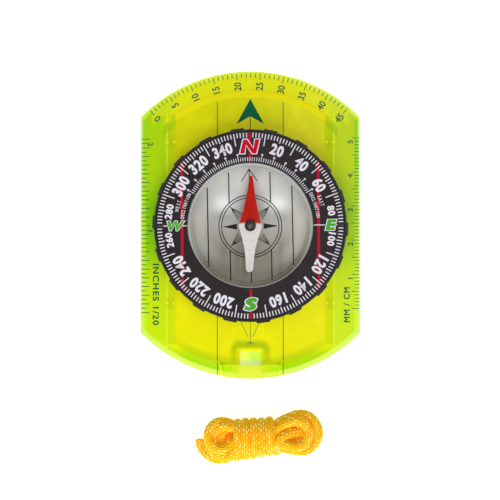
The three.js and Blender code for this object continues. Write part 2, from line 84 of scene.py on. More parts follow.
class Tree:
    """A material's node tree, with short calls for the nodes that this script uses.

    A colour of three numbers is one as it shows on a screen, 0 to 255 each.
    """

    def __init__(self, name):
        self.material = bpy.data.materials.new(name)
        self.material.use_nodes = True
        self.tree = self.material.node_tree
        self.tree.nodes.clear()
        self.out = self.add("ShaderNodeOutputMaterial")

    def add(self, kind, **settings):
        made = self.tree.nodes.new(kind)
        for key, value in settings.items():
            setattr(made, key, value)
        return made

    def link(self, source, target):
        self.tree.links.new(source, target)

    def put(self, socket, value):
        if isinstance(value, bpy.types.NodeSocket):
            self.link(value, socket)
        elif isinstance(value, tuple) and len(value) == 3:
            socket.default_value = linear(*value)
        elif value is not None:
            socket.default_value = value

    def coords(self):
        return self.add("ShaderNodeTexCoord").outputs["Object"]

    def place(self):
        """The object's own coordinates, in mm."""
        return self.stretch(self.coords(), (1 / MM, 1 / MM, 1 / MM))

    def split(self, vector):
        made = self.add("ShaderNodeSeparateXYZ")
        self.link(vector, made.inputs[0])
        return made.outputs

    def math(self, operation, a, b=None, c=None):
        made = self.add("ShaderNodeMath", operation=operation)
        for socket, value in zip(made.inputs, (a, b, c)):
            self.put(socket, value)
        return made.outputs[0]

    def times(self, a, b):
        return self.math("MULTIPLY", a, b)

    def minus(self, a, b):
        return self.math("SUBTRACT", a, b)

    def length(self, a, b):
        """How long the flat vector (a, b) is."""
        return self.math("SQRT", self.math("MULTIPLY_ADD", a, a, self.times(b, b)))

    def step(self, value, low, high, smooth=True):
        """A mask that goes from 0 where the value is low to 1 where it is high."""
        made = self.add("ShaderNodeMapRange", clamp=True)
        made.interpolation_type = "SMOOTHSTEP" if smooth else "LINEAR"
        self.put(made.inputs[0], value)
        made.inputs[1].default_value = low
        made.inputs[2].default_value = high
        return made.outputs[0]

    def band(self, value, start, full, end, gone):
        """A mask that rises from start to full and falls again from end to gone."""
        return self.times(self.step(value, start, full), self.step(value, gone, end))

    def blend(self, factor, a, b):
        made = self.add("ShaderNodeMix", data_type="RGBA")
        self.put(made.inputs[0], factor)
        self.put(made.inputs[6], a)
        self.put(made.inputs[7], b)
        return made.outputs[2]

    def stretch(self, vector, scale):
        made = self.add("ShaderNodeMapping")
        self.link(vector, made.inputs[0])
        made.inputs["Scale"].default_value = scale
        return made.outputs[0]

    def noise(self, scale, detail, vector=None):
        made = self.add("ShaderNodeTexNoise")
        made.inputs["Scale"].default_value = scale
        made.inputs["Detail"].default_value = detail
        made.inputs["Roughness"].default_value = 0.55
        self.link(vector or self.coords(), made.inputs["Vector"])
        return made.outputs[0]

    def bump(self, height, distance, strength=1.0):
        """A bumped normal; the distance is in mm."""
        made = self.add("ShaderNodeBump")
        made.inputs["Strength"].default_value = strength
        made.inputs["Distance"].default_value = distance * MM
        self.link(height, made.inputs["Height"])
        return made.outputs[0]

    def principled(self, **values):
        made = self.add("ShaderNodeBsdfPrincipled")
        for name, value in values.items():
            self.put(made.inputs[name.replace("_", " ")], value)
        return made.outputs[0]

    def mixed(self, factor, first, second):
        """Two shaders: the first where the factor is 0, the second where it is 1."""
        made = self.add("ShaderNodeMixShader")
        self.put(made.inputs[0], factor)
        self.link(first, made.inputs[1])
        self.link(second, made.inputs[2])
        return made.outputs[0]

    def finish(self, shader):
        self.link(shader, self.out.inputs["Surface"])
        return self.material


def linear(red, green, blue):
    """A colour given as it shows on a screen, 0 to 255, as linear light."""

    def one(value):
        value /= 255.0
        return value / 12.92 if value <= 0.04045 else ((value + 0.055) / 1.055) ** 2.4

    return (one(red), one(green), one(blue), 1.0)


def moulded(name, colour, other, roughness, grain=900.0, bump=0.02, metallic=0.0, gloss=0.5):
    """A solid finish with a fine grain: two close colours, uneven roughness and a slight bump."""
    t = Tree(name)
    fine = t.noise(grain, 4.0)
    broad = t.noise(60.0, 2.0)
    tone = t.math("MULTIPLY_ADD", broad, 0.6, t.times(fine, 0.4))
    rough = t.math("MULTIPLY_ADD", fine, 0.16, roughness - 0.08)
    shader = t.principled(
        Base_Color=t.blend(t.step(tone, 0.3, 0.7), colour, other),
        Roughness=rough,
        Metallic=metallic,
        Specular_IOR_Level=gloss,
        Normal=t.bump(fine, bump),
    )
    return t.finish(shader)


# ---------- mesh helpers ----------


def new_mesh(name, verts, faces, material, body=None, smooth=False):
    """A new piece from points in mm, riding on a body if one is named."""
    mesh = bpy.data.meshes.new(name)
    mesh.from_pydata([Vector(v) * MM for v in verts], [], faces)
    mesh.materials.append(material)
    if smooth:
        mesh.polygons.foreach_set("use_smooth", [True] * len(mesh.polygons))
    mesh.update()
    obj = bpy.data.objects.new(name, mesh)
    bpy.context.scene.collection.objects.link(obj)
    if body:
        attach(obj, body)
    return obj


def look(node, material):
    """Give a CAD node its material."""
    mesh = nodes[node].data
    mesh.materials.clear()
    mesh.materials.append(material)


# ---------- the lanyard ----------

# Sizes are in mm, in the hank's own frame: u along it, v across it, z up from the floor.
HANK_PLACE = Matrix.Translation((2.55, -61.45, 0)) @ Matrix.Rotation(math.radians(6), 4, "Z")
CORD = 2.5
HANK_MIDDLE = 5.8
WAIST = (-4.4, 4.0)
RIGHT_CENTRE = 11.9
LEFT_CENTRE = -9.8
# The wraps: how many, and where they and their half-sizes start and end.
WRAPS = 5.64
WRAP_STEPS = 14
WRAP_U = (-8.1, 4.9)
WRAP_HALF_WIDTH = (5.1, 4.4)
WRAP_HALF_HEIGHT = (4.3, 4.15)
WRAP_SLACK = 0.12
WRAP_LEAN = 0.35
# Each pair of strands in the waist: how far out from its middle, and how far up.
LEVELS = ((0.8, -2.5), (1.75, -1.5), (2.3, -0.5), (2.3, 0.5), (1.75, 1.5), (0.8, 2.5))
# Each fold: radius, height, how far its centre lies towards the waist, and how late it opens.
RIGHT_FOLDS = (
    (4.5, 1.55, 0.0, 1.5),
    (3.8, 3.0, 4.4, 0.6),
    (5.6, 4.0, 0.0, 0.6),
    (3.8, 6.0, 2.9, 0.6),
    (5.45, 6.8, 0.1, 0.6),
    (3.9, 8.9, 1.3, 0.6),
)
LEFT_FOLDS = (
    (4.6, 2.2, 0.0, 0.6),
    (4.0, 4.0, 3.2, 0.6),
    (5.1, 5.0, 0.0, 0.6),
    (4.0, 6.6, 2.4, 0.6),
    (4.4, 7.9, 0.1, 0.6),
)
# The cord's free end curls round the left-hand folds: degrees and radius about their centre.
FREE_END = ((171, 7.6), (186, 7.55), (203, 7.2), (221, 6.7), (240, 6.2), (260, 5.6))
FREE_END_LEAVES = (-8.6, -4.6, 1.5)
# The last loop on the left, which leads into the wraps.
LOOP_ENTRY = (-8.0, -0.7, 8.4)
LOOP_CENTRE = (-10.6, 1.8)
LOOP_RADIUS = 4.1
LOOP_HEIGHT = 9.3
# The other end is tucked from the last wrap into the eye of the right-hand folds.
TUCKED_END = (
    (5.2, -1.9, 9.6),
    (6.2, -0.7, 9.8),
    (7.7, 0.1, 9.1),
    (9.2, 0.2, 8.0),
    (10.7, 0.2, 7.1),
    (12.2, 0.5, 6.6),
    (13.5, 1.2, 6.3),
)


def strand_place(strand):
    """Where strand 0 to 11 runs inside the wraps: across and up."""
    across, up = LEVELS[strand // 2]
    return (across if strand % 2 else -across), HANK_MIDDLE + up


def fold(strand, end, centre, radius, height, late, outward):
    """A looped end, from where one strand leaves the wraps to where the next one enters."""
    v0, z0 = strand_place(strand)
    v1, z1 = strand_place(strand + 1)
    side = 1 if v0 > 0 else -1
    span = centre - end
    out, back = [], []
    for along in (0.3, 0.62):
        u = end + span * along
        share = along**late
        out.append((u, v0 + (side * radius - v0) * share, z0 + (height - z0) * share))
        back.append((u, v1 - (side * radius + v1) * share, z1 + (height - z1) * share))
    turn = []
    for degrees in range(-80, 81, 32):
        a = math.radians(degrees)
        u = centre + outward * radius * math.cos(a)
        turn.append((u, -side * radius * math.sin(a), height + 0.3 * math.cos(a)))
    return out + turn + back[::-1]


def free_end():
    """The cord's first end, lying on the floor beside the left-hand folds."""
    route = []
    for degrees, radius in FREE_END:
        a = math.radians(degrees)
        route.append((LEFT_CENTRE + radius * math.cos(a), radius * math.sin(a), CORD / 2 + 0.2))
    return [*route, FREE_END_LEAVES]


def runs_and_folds():
    """Twelve runs through the waist, with a fold after each but the last."""
    left, right = WAIST
    route = []
    for strand in range(12):
        v, z = strand_place(strand)
        run = [(u, v, z) for u in (left, left / 2, 0, right / 2, right)]
        level = strand // 2
        if strand % 2 == 0:
            route += run
            radius, height, inward, late = RIGHT_FOLDS[level]
            route += fold(strand, right, RIGHT_CENTRE - inward, radius, height, late, 1)
        else:
            route += run[::-1]
            if level < len(LEFT_FOLDS):
                radius, height, inward, late = LEFT_FOLDS[level]
                route += fold(strand, left, LEFT_CENTRE + inward, radius, height, late, -1)
    return route


def last_loop():
    """The open loop on the left, from the last run to the first wrap."""
    route = [LOOP_ENTRY]
    for i in range(7):
        a = math.radians(270 - 30 * i)
        u = LOOP_CENTRE[0] + LOOP_RADIUS * math.cos(a)
        v = LOOP_CENTRE[1] + LOOP_RADIUS * math.sin(a)
        route.append((u, v, LOOP_HEIGHT - 0.12 * (i - 1.5) ** 2))
    return route


def wraps():
    """The turns round the waist, each with a little slack and lean of its own."""

    def between(ends, share):
        return ends[0] + (ends[1] - ends[0]) * share

    route = []
    steps = round(WRAP_STEPS * WRAPS)
    for i in range(steps + 1):
        share = i / steps
        a = -2 * math.pi * WRAPS * share
        u = between(WRAP_U, share) + WRAP_LEAN * math.sin(a)
        width = between(WRAP_HALF_WIDTH, share) + WRAP_SLACK * math.sin(7 * a / 3)
        height = between(WRAP_HALF_HEIGHT, share)
        route.append((u, width * math.cos(a), HANK_MIDDLE + height * math.sin(a)))
    return route


def hank_route():
    """The cord's control points from its free end, in mm, where the hank lies."""
    route = [*free_end(), *runs_and_folds(), *last_loop(), *wraps(), *TUCKED_END]
    return [HANK_PLACE @ Vector(p) for p in route]


PATH_SPACING = 0.24
CURVE_STEPS = 12
SMOOTHING_PASSES = 30


def smooth_path(points, spacing):
    """Points evenly spaced along a smoothed centripetal Catmull-Rom curve."""
    ends = [2 * points[0] - points[1], *points, 2 * points[-1] - points[-2]]
    fine = []
    for p0, p1, p2, p3 in zip(ends, ends[1:], ends[2:], ends[3:]):
        t1 = math.sqrt((p1 - p0).length)
        t2 = t1 + math.sqrt((p2 - p1).length)
        t3 = t2 + math.sqrt((p3 - p2).length)
        for k in range(CURVE_STEPS):
            t = t1 + (t2 - t1) * k / CURVE_STEPS
            a1 = p0.lerp(p1, t / t1)
            a2 = p1.lerp(p2, (t - t1) / (t2 - t1))
            a3 = p2.lerp(p3, (t - t2) / (t3 - t2))
            b1 = a1.lerp(a2, t / t2)
            b2 = a2.lerp(a3, (t - t1) / (t3 - t1))
            fine.append(b1.lerp(b2, (t - t1) / (t2 - t1)))
    fine.append(points[-1].copy())
    for _ in range(SMOOTHING_PASSES):
        inner = [(a + 2 * b + c) / 4 for a, b, c in zip(fine, fine[1:], fine[2:])]
        fine = [fine[0], *inner, fine[-1]]
    total = sum((b - a).length for a, b in zip(fine, fine[1:]))
    count = round(total / spacing)
    want = total / count
    even = [fine[0].copy()]
    gone = 0.0
    for a, b in zip(fine, fine[1:]):
        length = (b - a).length
        while length and gone + length >= want * len(even) - 1e-9 and len(even) < count:
            even.append(a.lerp(b, (want * len(even) - gone) / length))
        gone += length
    even.append(fine[-1].copy())
    return even, total


KNIT_COLUMNS = 10
KNIT_PITCH = 1.25
KNIT_RELIEF = 0.18  # how far a stitch stands up, as a share of the radius
CORE_SHARE = 0.93  # the radius between the stitches, as a share of the cord's
LUMP = 0.05
END_SHARE = 0.55  # how far the cut ends are drawn in
CORD_SIDES = 40


def chance(column, row):
    """A fixed random number, 0 to 1, for a stitch."""
    return math.sin(column * 12.9898 + row * 78.233) * 43758.5453 % 1.0


def stitch(around, along):
    """The relief of a knitted cord, 0 to 1, with the strength of each stitch's painted glint, 0 to 1."""
    column = math.floor(around * KNIT_COLUMNS)
    x = 2 * (around * KNIT_COLUMNS - column) - 1
    lean = 0.3 if column % 2 else -0.3
    row = along / KNIT_PITCH + (0.5 if column % 2 else 0.0) + lean * x
    y = 2 * (row - math.floor(row)) - 1
    height = (1 - x * x) * (1 - abs(y) ** 1.6)
    return height, height * chance(column, math.floor(row))


def knitted_tube(points, radius):
    """The cord's mesh, with each point's relief and the strength of its stitch's painted glint."""
    verts, faces, relief, painted_glint = [], [], [], []
    tangent = (points[1] - points[0]).normalized()
    normal = tangent.orthogonal().normalized()
    last = len(points) - 1
    gone = 0.0
    for i, point in enumerate(points):
        ahead = (points[min(i + 1, last)] - points[max(i - 1, 0)]).normalized()
        normal = (normal - normal.dot(ahead) * ahead).normalized()
        across = ahead.cross(normal)
        if i:
            gone += (point - points[i - 1]).length
        lump = LUMP * noise.noise(point * 0.55)
        for k in range(CORD_SIDES):
            a = 2 * math.pi * k / CORD_SIDES
            height, bright = stitch(k / CORD_SIDES, gone)
            r = radius * (CORE_SHARE + lump + KNIT_RELIEF * height)
            if i in (0, last):
                r *= END_SHARE
            verts.append(point + r * (math.cos(a) * normal + math.sin(a) * across))
            relief.append(height)
            painted_glint.append(bright)
    for i in range(last):
        for k in range(CORD_SIDES):
            a, b = i * CORD_SIDES + k, i * CORD_SIDES + (k + 1) % CORD_SIDES
            faces.append((a, b, b + CORD_SIDES, a + CORD_SIDES))
    faces.append(tuple(reversed(range(CORD_SIDES))))
    faces.append(tuple(last * CORD_SIDES + k for k in range(CORD_SIDES)))
    return verts, faces, relief, painted_glint


def cord_material():
    """Yellow-orange yarn, with painted shade between the stitches and on the north side, painted glints
    on the stitches and a slight painted glow.
    """
    t = Tree("lanyard_knit")
    relief = t.add("ShaderNodeAttribute", attribute_name="relief").outputs["Fac"]
    painted_glint = t.add("ShaderNodeAttribute", attribute_name="painted_glint").outputs["Fac"]
    mottle = t.noise(420.0, 3.0)
    fibre = t.noise(5200.0, 2.0)
    tone = t.math("MULTIPLY_ADD", mottle, 0.3, relief)
    # Painted shade: darker orange between the stitches, where the relief is low.
    yarn = t.blend(t.step(tone, 0.12, 0.6), (244, 138, 0), (250, 192, 0))
    # Painted shade: olive on the side that faces north, away from the key light.
    facing = t.split(t.add("ShaderNodeNewGeometry").outputs["Normal"])[1]
    yarn = t.blend(t.times(t.step(facing, 0.1, 0.9), 0.55), yarn, (196, 176, 0))
    # Painted highlights: pale glints on the tops of some stitches.
    lit = t.blend(t.step(painted_glint, 0.25, 0.7), yarn, (255, 238, 120))
    shader = t.principled(
        Base_Color=lit,
        Roughness=0.72,
        Specular_IOR_Level=0.2,
        Emission_Color=lit,
        # A slight painted glow in the yarn.
        Emission_Strength=0.16,
        Normal=t.bump(fibre, 0.05, 0.6),
    )
    return t.finish(shader)


def make_lanyard():
    points, length = smooth_path(hank_route(), PATH_SPACING)
    verts, faces, relief, painted_glint = knitted_tube(points, CORD / 2)
    cord = new_mesh("lanyard_cord", verts, faces, cord_material(), "baseplate", smooth=True)
    for name, values in (("relief", relief), ("painted_glint", painted_glint)):
        cord.data.attributes.new(name, "FLOAT", "POINT").data.foreach_set("value", values)
    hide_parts("lanyard_hank")


make_lanyard()

# ---------- prints ----------

PLATE_LOW, PLATE_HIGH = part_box("baseplate")
PLATE_CENTRE = (PLATE_LOW.y + PLATE_HIGH.y) / 2 / MM
PLATE_RADIUS = (PLATE_HIGH.y - PLATE_LOW.y) / 2 / MM
# Heights of the plate's upper surface: its raised middle, the ledge round that, and the rim.
PLATEAU_TOP = top_of("baseplate")
LEDGE_TOP = 2.9
RIM_TOP = 2.4
# Where the slope starts, where it meets the ledge, and where the plate ends.
SIDE_PROFILE = (21.7, 24.3, 32.1)
NORTH_PROFILE = (37.8, 39.5, PLATE_RADIUS)
SOUTH_PROFILE = (41.0, 42.6, PLATE_RADIUS)
FACE_TOP = top_of("dial_face")
ROSE_TOP = top_of("rose_disc")


def plate_top(x, y):
    """The height of the plate's upper surface, in mm, where something is printed."""

    def height(at, crest, foot, outer):
        if at <= crest:
            return PLATEAU_TOP
        if at <= foot:
            return PLATEAU_TOP + (LEDGE_TOP - PLATEAU_TOP) * (at - crest) / (foot - crest)
        return LEDGE_TOP + (RIM_TOP - LEDGE_TOP) * (at - foot) / (outer - foot)

    radius = math.hypot(x, y - PLATE_CENTRE)
    end = height(radius, *(NORTH_PROFILE if y > 0 else SOUTH_PROFILE))
    return min(end, height(abs(x), *SIDE_PROFILE))


class Print:
    """Flat printed shapes in mm, gathered into one mesh, then turned and moved ahead.

    A line is cut into pieces no longer than the stride, so that it follows the surface below it.
    """

    def __init__(self, name, body, slot, material, height, stride=100.0, ahead=0.0, turn=0.0):
        self.name = name
        self.slot = slot
        self.stride = stride
        self.ahead = ahead
        self.turn = math.radians(turn)
        self.body = body
        self.material = material
        self.height = height if callable(height) else (lambda x, y: height)
        self.verts = []
        self.faces = []

    def polygon(self, points):
        start = len(self.verts)
        self.verts += [(x, y) for x, y in points]
        self.faces.append(tuple(range(start, start + len(points))))

    def line(self, a, b, width):
        a, b = Vector(a), Vector(b)
        pieces = math.ceil((b - a).length / self.stride)
        side = (b - a).normalized()
        side = Vector((-side.y, side.x)) * width / 2
        start = len(self.verts)
        for i in range(pieces + 1):
            at = a.lerp(b, i / pieces)
            self.verts += [tuple(at - side), tuple(at + side)]
        for i in range(pieces):
            k = start + 2 * i
            self.faces.append((k, k + 2, k + 3, k + 1))

    def tick(self, degrees, inner, outer, width):
        """A radial line; degrees run clockwise from north."""
        d = around(degrees, 1.0)
        self.line(d * inner, d * outer, width)

    def ring(self, radius, width, sides=120):
        start = len(self.verts)
        for i in range(sides):
            d = around(360 * i / sides, 1.0)
            self.verts += [tuple(d * (radius - width / 2)), tuple(d * (radius + width / 2))]
        for i in range(sides):
            a = start + 2 * i
            b = start + 2 * ((i + 1) % sides)
            self.faces.append((a, a + 1, b + 1, b))

    def dot(self, at, radius, sides=14):
        turns = [2 * math.pi * i / sides for i in range(sides)]
        self.polygon([(at[0] + radius * math.cos(a), at[1] + radius * math.sin(a)) for a in turns])

    def text(self, words, at, turn, height, squeeze=1.0, bold=0.0, slant=0.0, spread=0.0, gap=1.0):
        """Words centred at a point. turn is anticlockwise; bold and spread thicken the font."""
        _, _, low, high = glyphs(words, bold, gap)
        verts, faces, _, _ = glyphs(words, bold + spread, gap)
        scale = height / (high.y - low.y)
        middle = (low + high) / 2
        c, s = math.cos(math.radians(turn)), math.sin(math.radians(turn))
        start = len(self.verts)
        for v in verts:
            y = (v.y - middle.y) * scale
            x = (v.x - middle.x) * scale * squeeze + slant * y
            self.verts.append((at[0] + c * x - s * y, at[1] + s * x + c * y))
        self.faces += [tuple(start + i for i in f) for f in faces]

    def make(self):
        c, s = math.cos(self.turn), math.sin(self.turn)
        flat = [(c * x - s * y, s * x + c * y + self.ahead) for x, y in self.verts]
        lifted = [(x, y, self.height(x, y)) for x, y in flat]
        faces = [f if signed_area([self.verts[i] for i in f]) > 0 else f[::-1] for f in self.faces]
        printed = new_mesh(self.name, lifted, faces, self.material, self.body)


def around(degrees, radius):
    """A flat point at a bearing, clockwise from north."""
    a = math.radians(degrees)
    return Vector((radius * math.sin(a), radius * math.cos(a)))


def signed_area(points):
    """The area of a flat outline, negative where it runs clockwise."""
    return sum(a[0] * b[1] - b[0] * a[1] for a, b in zip(points, points[1:] + points[:1])) / 2


def grown(verts, faces, amount):
    """Flat letters made bolder: each corner of an outline moves out between its two edges."""
    edges = set()
    for face in faces:
        turned = face if signed_area([verts[i] for i in face]) > 0 else face[::-1]
        edges.update(zip(turned, turned[1:] + turned[:1]))
    outward = {}
    for a, b in edges:
        if (b, a) not in edges:
            along = (verts[b] - verts[a]).normalized()
            for end in (a, b):
                outward.setdefault(end, []).append(Vector((along.y, -along.x)))
    moved = list(verts)
    for i, normals in outward.items():
        mean = sum(normals, Vector((0, 0))) / len(normals)
        moved[i] = verts[i] + mean * (amount / max(mean.length_squared, 0.25))
    return moved


glyph_store = {}


def glyphs(words, bold=0.0, gap=1.0):
    """The flat mesh of some words in Blender's own font, with the corners of its box."""
    key = (words, round(bold, 4), gap)
    if key not in glyph_store:
        curve = bpy.data.curves.new("glyphs", "FONT")
        curve.body = words
        curve.space_character = gap
        curve.resolution_u = 4
        made = bpy.data.objects.new("glyphs", curve)
        bpy.context.scene.collection.objects.link(made)
        graph = bpy.context.evaluated_depsgraph_get()
        mesh = bpy.data.meshes.new_from_object(made.evaluated_get(graph))
        verts = [Vector((v.co.x, v.co.y)) for v in mesh.vertices]
        faces = [tuple(p.vertices) for p in mesh.polygons]
        verts = grown(verts, faces, bold)
        low = Vector((min(v.x for v in verts), min(v.y for v in verts)))
        high = Vector((max(v.x for v in verts), max(v.y for v in verts)))
        glyph_store[key] = (verts, faces, low, high)
        bpy.data.objects.remove(made)
        bpy.data.curves.remove(curve)
        bpy.data.meshes.remove(mesh)
    return glyph_store[key]


def ink(name, colour, other):
    """A matt printing ink."""
    return moulded(name, colour, other, 0.5, grain=2400.0, bump=0.008, gloss=0.12)


PLATE_INK = ink("plate_ink", (0, 90, 58), (0, 110, 66))
WHITE_INK = ink("white_ink", (238, 236, 244), (222, 219, 230))
RED_INK = ink("red_ink", (214, 0, 44), (196, 0, 38))
GREEN_INK = ink("green_ink", (84, 178, 44), (70, 160, 40))
BLACK_INK = ink("black_ink", (30, 27, 26), (42, 38, 36))

# The plate's prints are placed in mm from the middle of the plate.
HAIRLINE = 0.15
FINE_LINE = 0.22
MERIDIAN_X = 9.6
ARC_FIRST, ARC_STEP = -41.2, 1.8  # degrees
ARC_INSET = 0.55
RULER_X = 31.9
NUMBER_X = 29.3
INCH = 25.4
INCH_ZERO, CM_ZERO = -25.7, -24.5
ARC_NUMBER = {"height": 2.1, "squeeze": 0.9, "bold": 0.018}
RULER_NUMBER = {"height": 1.55, "squeeze": 1.15, "bold": 0.018}
UNIT_LABEL = {"height": 1.85, "bold": 0.028}


def arrow_and_lines(p):
    """The direction-of-travel arrow, the meridian lines and the mark at the slot."""
    tip, notch, barb = (0, 36.8), (0, 31.7), (4.05, 29.4)
    p.polygon([tip, (-barb[0], barb[1]), notch])
    p.polygon([tip, notch, barb])
    p.line(notch, (0, 26.5), 0.26)
    for x in (-MERIDIAN_X, MERIDIAN_X):
        p.line((x, 35.8), (x, 25.5), FINE_LINE)
        p.line((x, -25.5), (x, -43.7), FINE_LINE)
    p.line((0, -26.5), (0, -33.6), HAIRLINE)
    for side in (-1, 1):
        p.line((2.9 * side, -28.0), (0.7 * side, -32.8), HAIRLINE)
    p.line((-0.9, -34.5), (0.9, -34.5), 0.18)
    p.line((0, -33.9), (0, -35.2), 0.18)


def arc_scale(p):
    """The scale round the arrow end, 0 to 45."""
    edge = PLATE_RADIUS - ARC_INSET
    for i in range(46):
        degrees = ARC_FIRST + ARC_STEP * i
        long = i % 5 == 0
        p.tick(degrees, edge - (1.9 if long else 1.26), edge, FINE_LINE)
        if long:
            # Numbers of one digit stand nearer their tick.
            at = around(degrees, edge - 2.35 - (1.45 if i > 5 else 0.8))
            p.text(str(i), at, 90 - degrees, **ARC_NUMBER)


def inch_scale(p):
    """Two inches in twentieths, along the west edge."""
    for i in range(41):
        y = INCH_ZERO + INCH / 20 * i
        p.line((-RULER_X, y), (-RULER_X + (1.5 if i % 2 else 2.4), y), FINE_LINE)
    for inch in (1, 2):
        p.text(str(inch), (-NUMBER_X, INCH_ZERO - 1.5 + INCH * inch), -90, **RULER_NUMBER)
    p.text("INCHES 1/20", (-27.6, -20.4), -90, squeeze=1.17, gap=1.17, **UNIT_LABEL)


def centimetre_scale(p):
    """Five centimetres in millimetres, along the east edge."""
    for i in range(51):
        y = CM_ZERO + i
        p.line((RULER_X, y), (RULER_X - (2.2 if i % 5 == 0 else 1.35), y), 0.2)
    for cm in range(1, 6):
        p.text(str(cm), (NUMBER_X, CM_ZERO - 1.15 + 10 * cm), 90, **RULER_NUMBER)
    p.text("MM / CM", (28.2, -23.4), 90, squeeze=0.95, gap=1.2, **UNIT_LABEL)


def plate_prints():
    """All that is printed on the plate, following its upper surface."""

    def just_above(x, y):
        return plate_top(x, y) + 0.02

    p = Print("plate_print", "baseplate", "acrylic", PLATE_INK, just_above, 0.6, ahead=PLATE_CENTRE)
    for part in (arrow_and_lines, arc_scale, inch_scale, centimetre_scale):
        part(p)
    p.make()


# Degrees anticlockwise by which the dial's print and the rose are turned.
DIAL_SET = 0.4
ROSE_SET = 1.2
DIAL_RIM = 27.0
RED_LINE_X = 19.8
LETTER_STYLE = {"bold": 0.06, "slant": 0.24}
SMALL_NUMBERS = (80, 100, 260, 280)
# Each small word along the dial's inner edge: radius, first and last degree, height.
DECLINATION_WORDS = (
    ("DECLINATION", 19.85, 61.8, 84.0, 1.05),
    ("EAST", 21.7, 66.5, 75.5, 1.1),
    ("DECLINATION", 19.85, -84.0, -61.8, 1.05),
    ("WEST", 21.7, -79.0, -70.0, 1.1),
)


def red_lines(red):
    """The two long lines beside the capsule and the short ones at north and south."""
    for x in (-RED_LINE_X, RED_LINE_X):
        reach = math.sqrt(DIAL_RIM**2 - x**2)
        red.line((x, -reach), (x, reach), 0.68)
    for side in (1, -1):
        red.line((0, 18.5 * side), (0, DIAL_RIM * side), 0.62)


def degree_scale(white):
    """A tick every two degrees and a number every twenty, except at north and south."""
    for degrees in range(2, 361, 2):
        if degrees in (180, 360):
            continue
        inner = 25.6
        if degrees % 20 == 10:
            inner = 23.35
        elif degrees % 10 == 0:
            inner = 25.25
        white.tick(degrees, inner, DIAL_RIM, 0.29)
    for number in range(20, 360, 20):
        if number == 180:
            continue
        if number in SMALL_NUMBERS:
            radius, height, squeeze = 23.85, 2.15, 0.98
        else:
            radius, height, squeeze = 23.15, 3.35, 0.84
        white.text(str(number), around(number, radius), -number, height, squeeze, bold=0.045, gap=1.12)


def declination_scale(white):
    """The inner scale, sixty degrees to each side of north, with its small words."""
    for degrees in range(-60, 61, 2):
        long = degrees and degrees % 10 == 0
        white.tick(degrees, 18.7, 20.7 if long else 19.85, 0.2)
        if long:
            white.dot(around(degrees, 20.75), 0.32)
    for side in (-1, 1):
        white.line((18.45 * side, 0), (21.6 * side, 0), 0.26)
        white.line((25.2 * side, 0), (DIAL_RIM * side, 0), 0.26)
    for words in DECLINATION_WORDS:
        curved(white, *words)


def compass_letters(white, red, green):
    """N, S, W and E: a coloured letter on a slightly larger white one."""
    for letter, at, height, squeeze, fill in (
        ("N", around(0, 22.95), 4.1, 1.23, red),
        ("S", around(180, 22.85), 3.7, 1.5, green),
        ("W", (-21.9, 0.0), 2.8, 1.2, green),
        ("E", (23.4, 0.0), 3.1, 1.3, green),
    ):
        white.text(letter, at, 0, height, squeeze, spread=0.05, **LETTER_STYLE)
        fill.text(letter, at, 0, height, squeeze, **LETTER_STYLE)


def dial_prints():
    """The dial's prints: red lowest, white above it, and the letters' colours on top."""

    def layer(name, material, lift):
        return Print(name, "dial", "dial_face", material, FACE_TOP + lift, turn=DIAL_SET)

    red = layer("dial_print_red", RED_INK, 0.012)
    red_lines(red)
    red.make()
    white = layer("dial_print_white", WHITE_INK, 0.022)
    degree_scale(white)
    declination_scale(white)
    north = layer("dial_print_north", RED_INK, 0.032)
    green = layer("dial_print_green", GREEN_INK, 0.032)
    compass_letters(white, north, green)
    for made in (north, green, white):
        made.make()


def curved(p, words, radius, start, end, height):
    """Small letters along an arc, their tops outward, reading clockwise."""
    for i, letter in enumerate(words):
        degrees = start + (end - start) * (i + 0.5) / len(words)
        p.text(letter, around(degrees, radius), -degrees, height, 0.62, bold=0.02)


ROSE_RINGS = (9.2, 8.4)
ROSE_EDGE = 17.0
ROSE_LINE = 0.34
ARROW_TIP = 16.8


def rose_prints():
    """The rose's two rings, eight points and meridian lines, and the orienting arrow."""
    p = Print("rose_print", "dial", "rose_disc", BLACK_INK, ROSE_TOP + 0.015, turn=ROSE_SET)
    for x in (-12.4, 12.4):
        y = math.sqrt(ROSE_EDGE**2 - x**2)
        p.line((x, -y), (x, y), 0.36)
    for x in (-6.05, 6.05):
        y = math.sqrt(ROSE_EDGE**2 - x**2)
        for side in (-1, 1):
            p.line((x, side * math.sqrt(9.25**2 - x**2)), (x, side * y), ROSE_LINE)
    p.line((0, -ROSE_RINGS[0]), (0, -16.6), ROSE_LINE)
    p.line((0, ARROW_TIP), (0, ROSE_RINGS[0]), 0.24)
    for side in (-1, 1):
        p.line((0, ARROW_TIP), (2.35 * side, 13.2), 0.25)
    for radius in ROSE_RINGS:
        p.ring(radius, 0.27)
    for degrees in (90, 270):
        tip, across = around(degrees, 1.0), around(degrees + 90, 1.0)
        p.polygon([tip * 8.2, tip * 3.9 + across * 0.85, tip * 3.9 - across * 0.85])
    for degrees in (45, 135, 225, 315):
        tip, across = around(degrees, 1.0), around(degrees + 90, 1.0)
        p.polygon([tip * 8.4, tip * 6.7 + across * 0.36, tip * 6.7 - across * 0.36])
        for start, end in ((-0.34, -1.05), (-0.12, -0.4), (0.12, 0.4), (0.34, 1.05)):
            p.line(tip * 7.0 + across * start, tip * 4.0 + across * end, 0.22)
    p.make()


plate_prints()
dial_prints()
rose_prints()

# ---------- the plate ----------

SLOT_HALF_WIDTH = 3.15
SLOT_HALF_LENGTH = 2.15
SLOT_Y = -38.55
BAR_Y = PLATE_LOW.y / MM + 3.9  # the north side of the low bar behind the slot
# Where the rim's pale painted glow starts and is full.
PALE_RIM = (43.2, 43.9)  # the radius at which the rim starts and is full


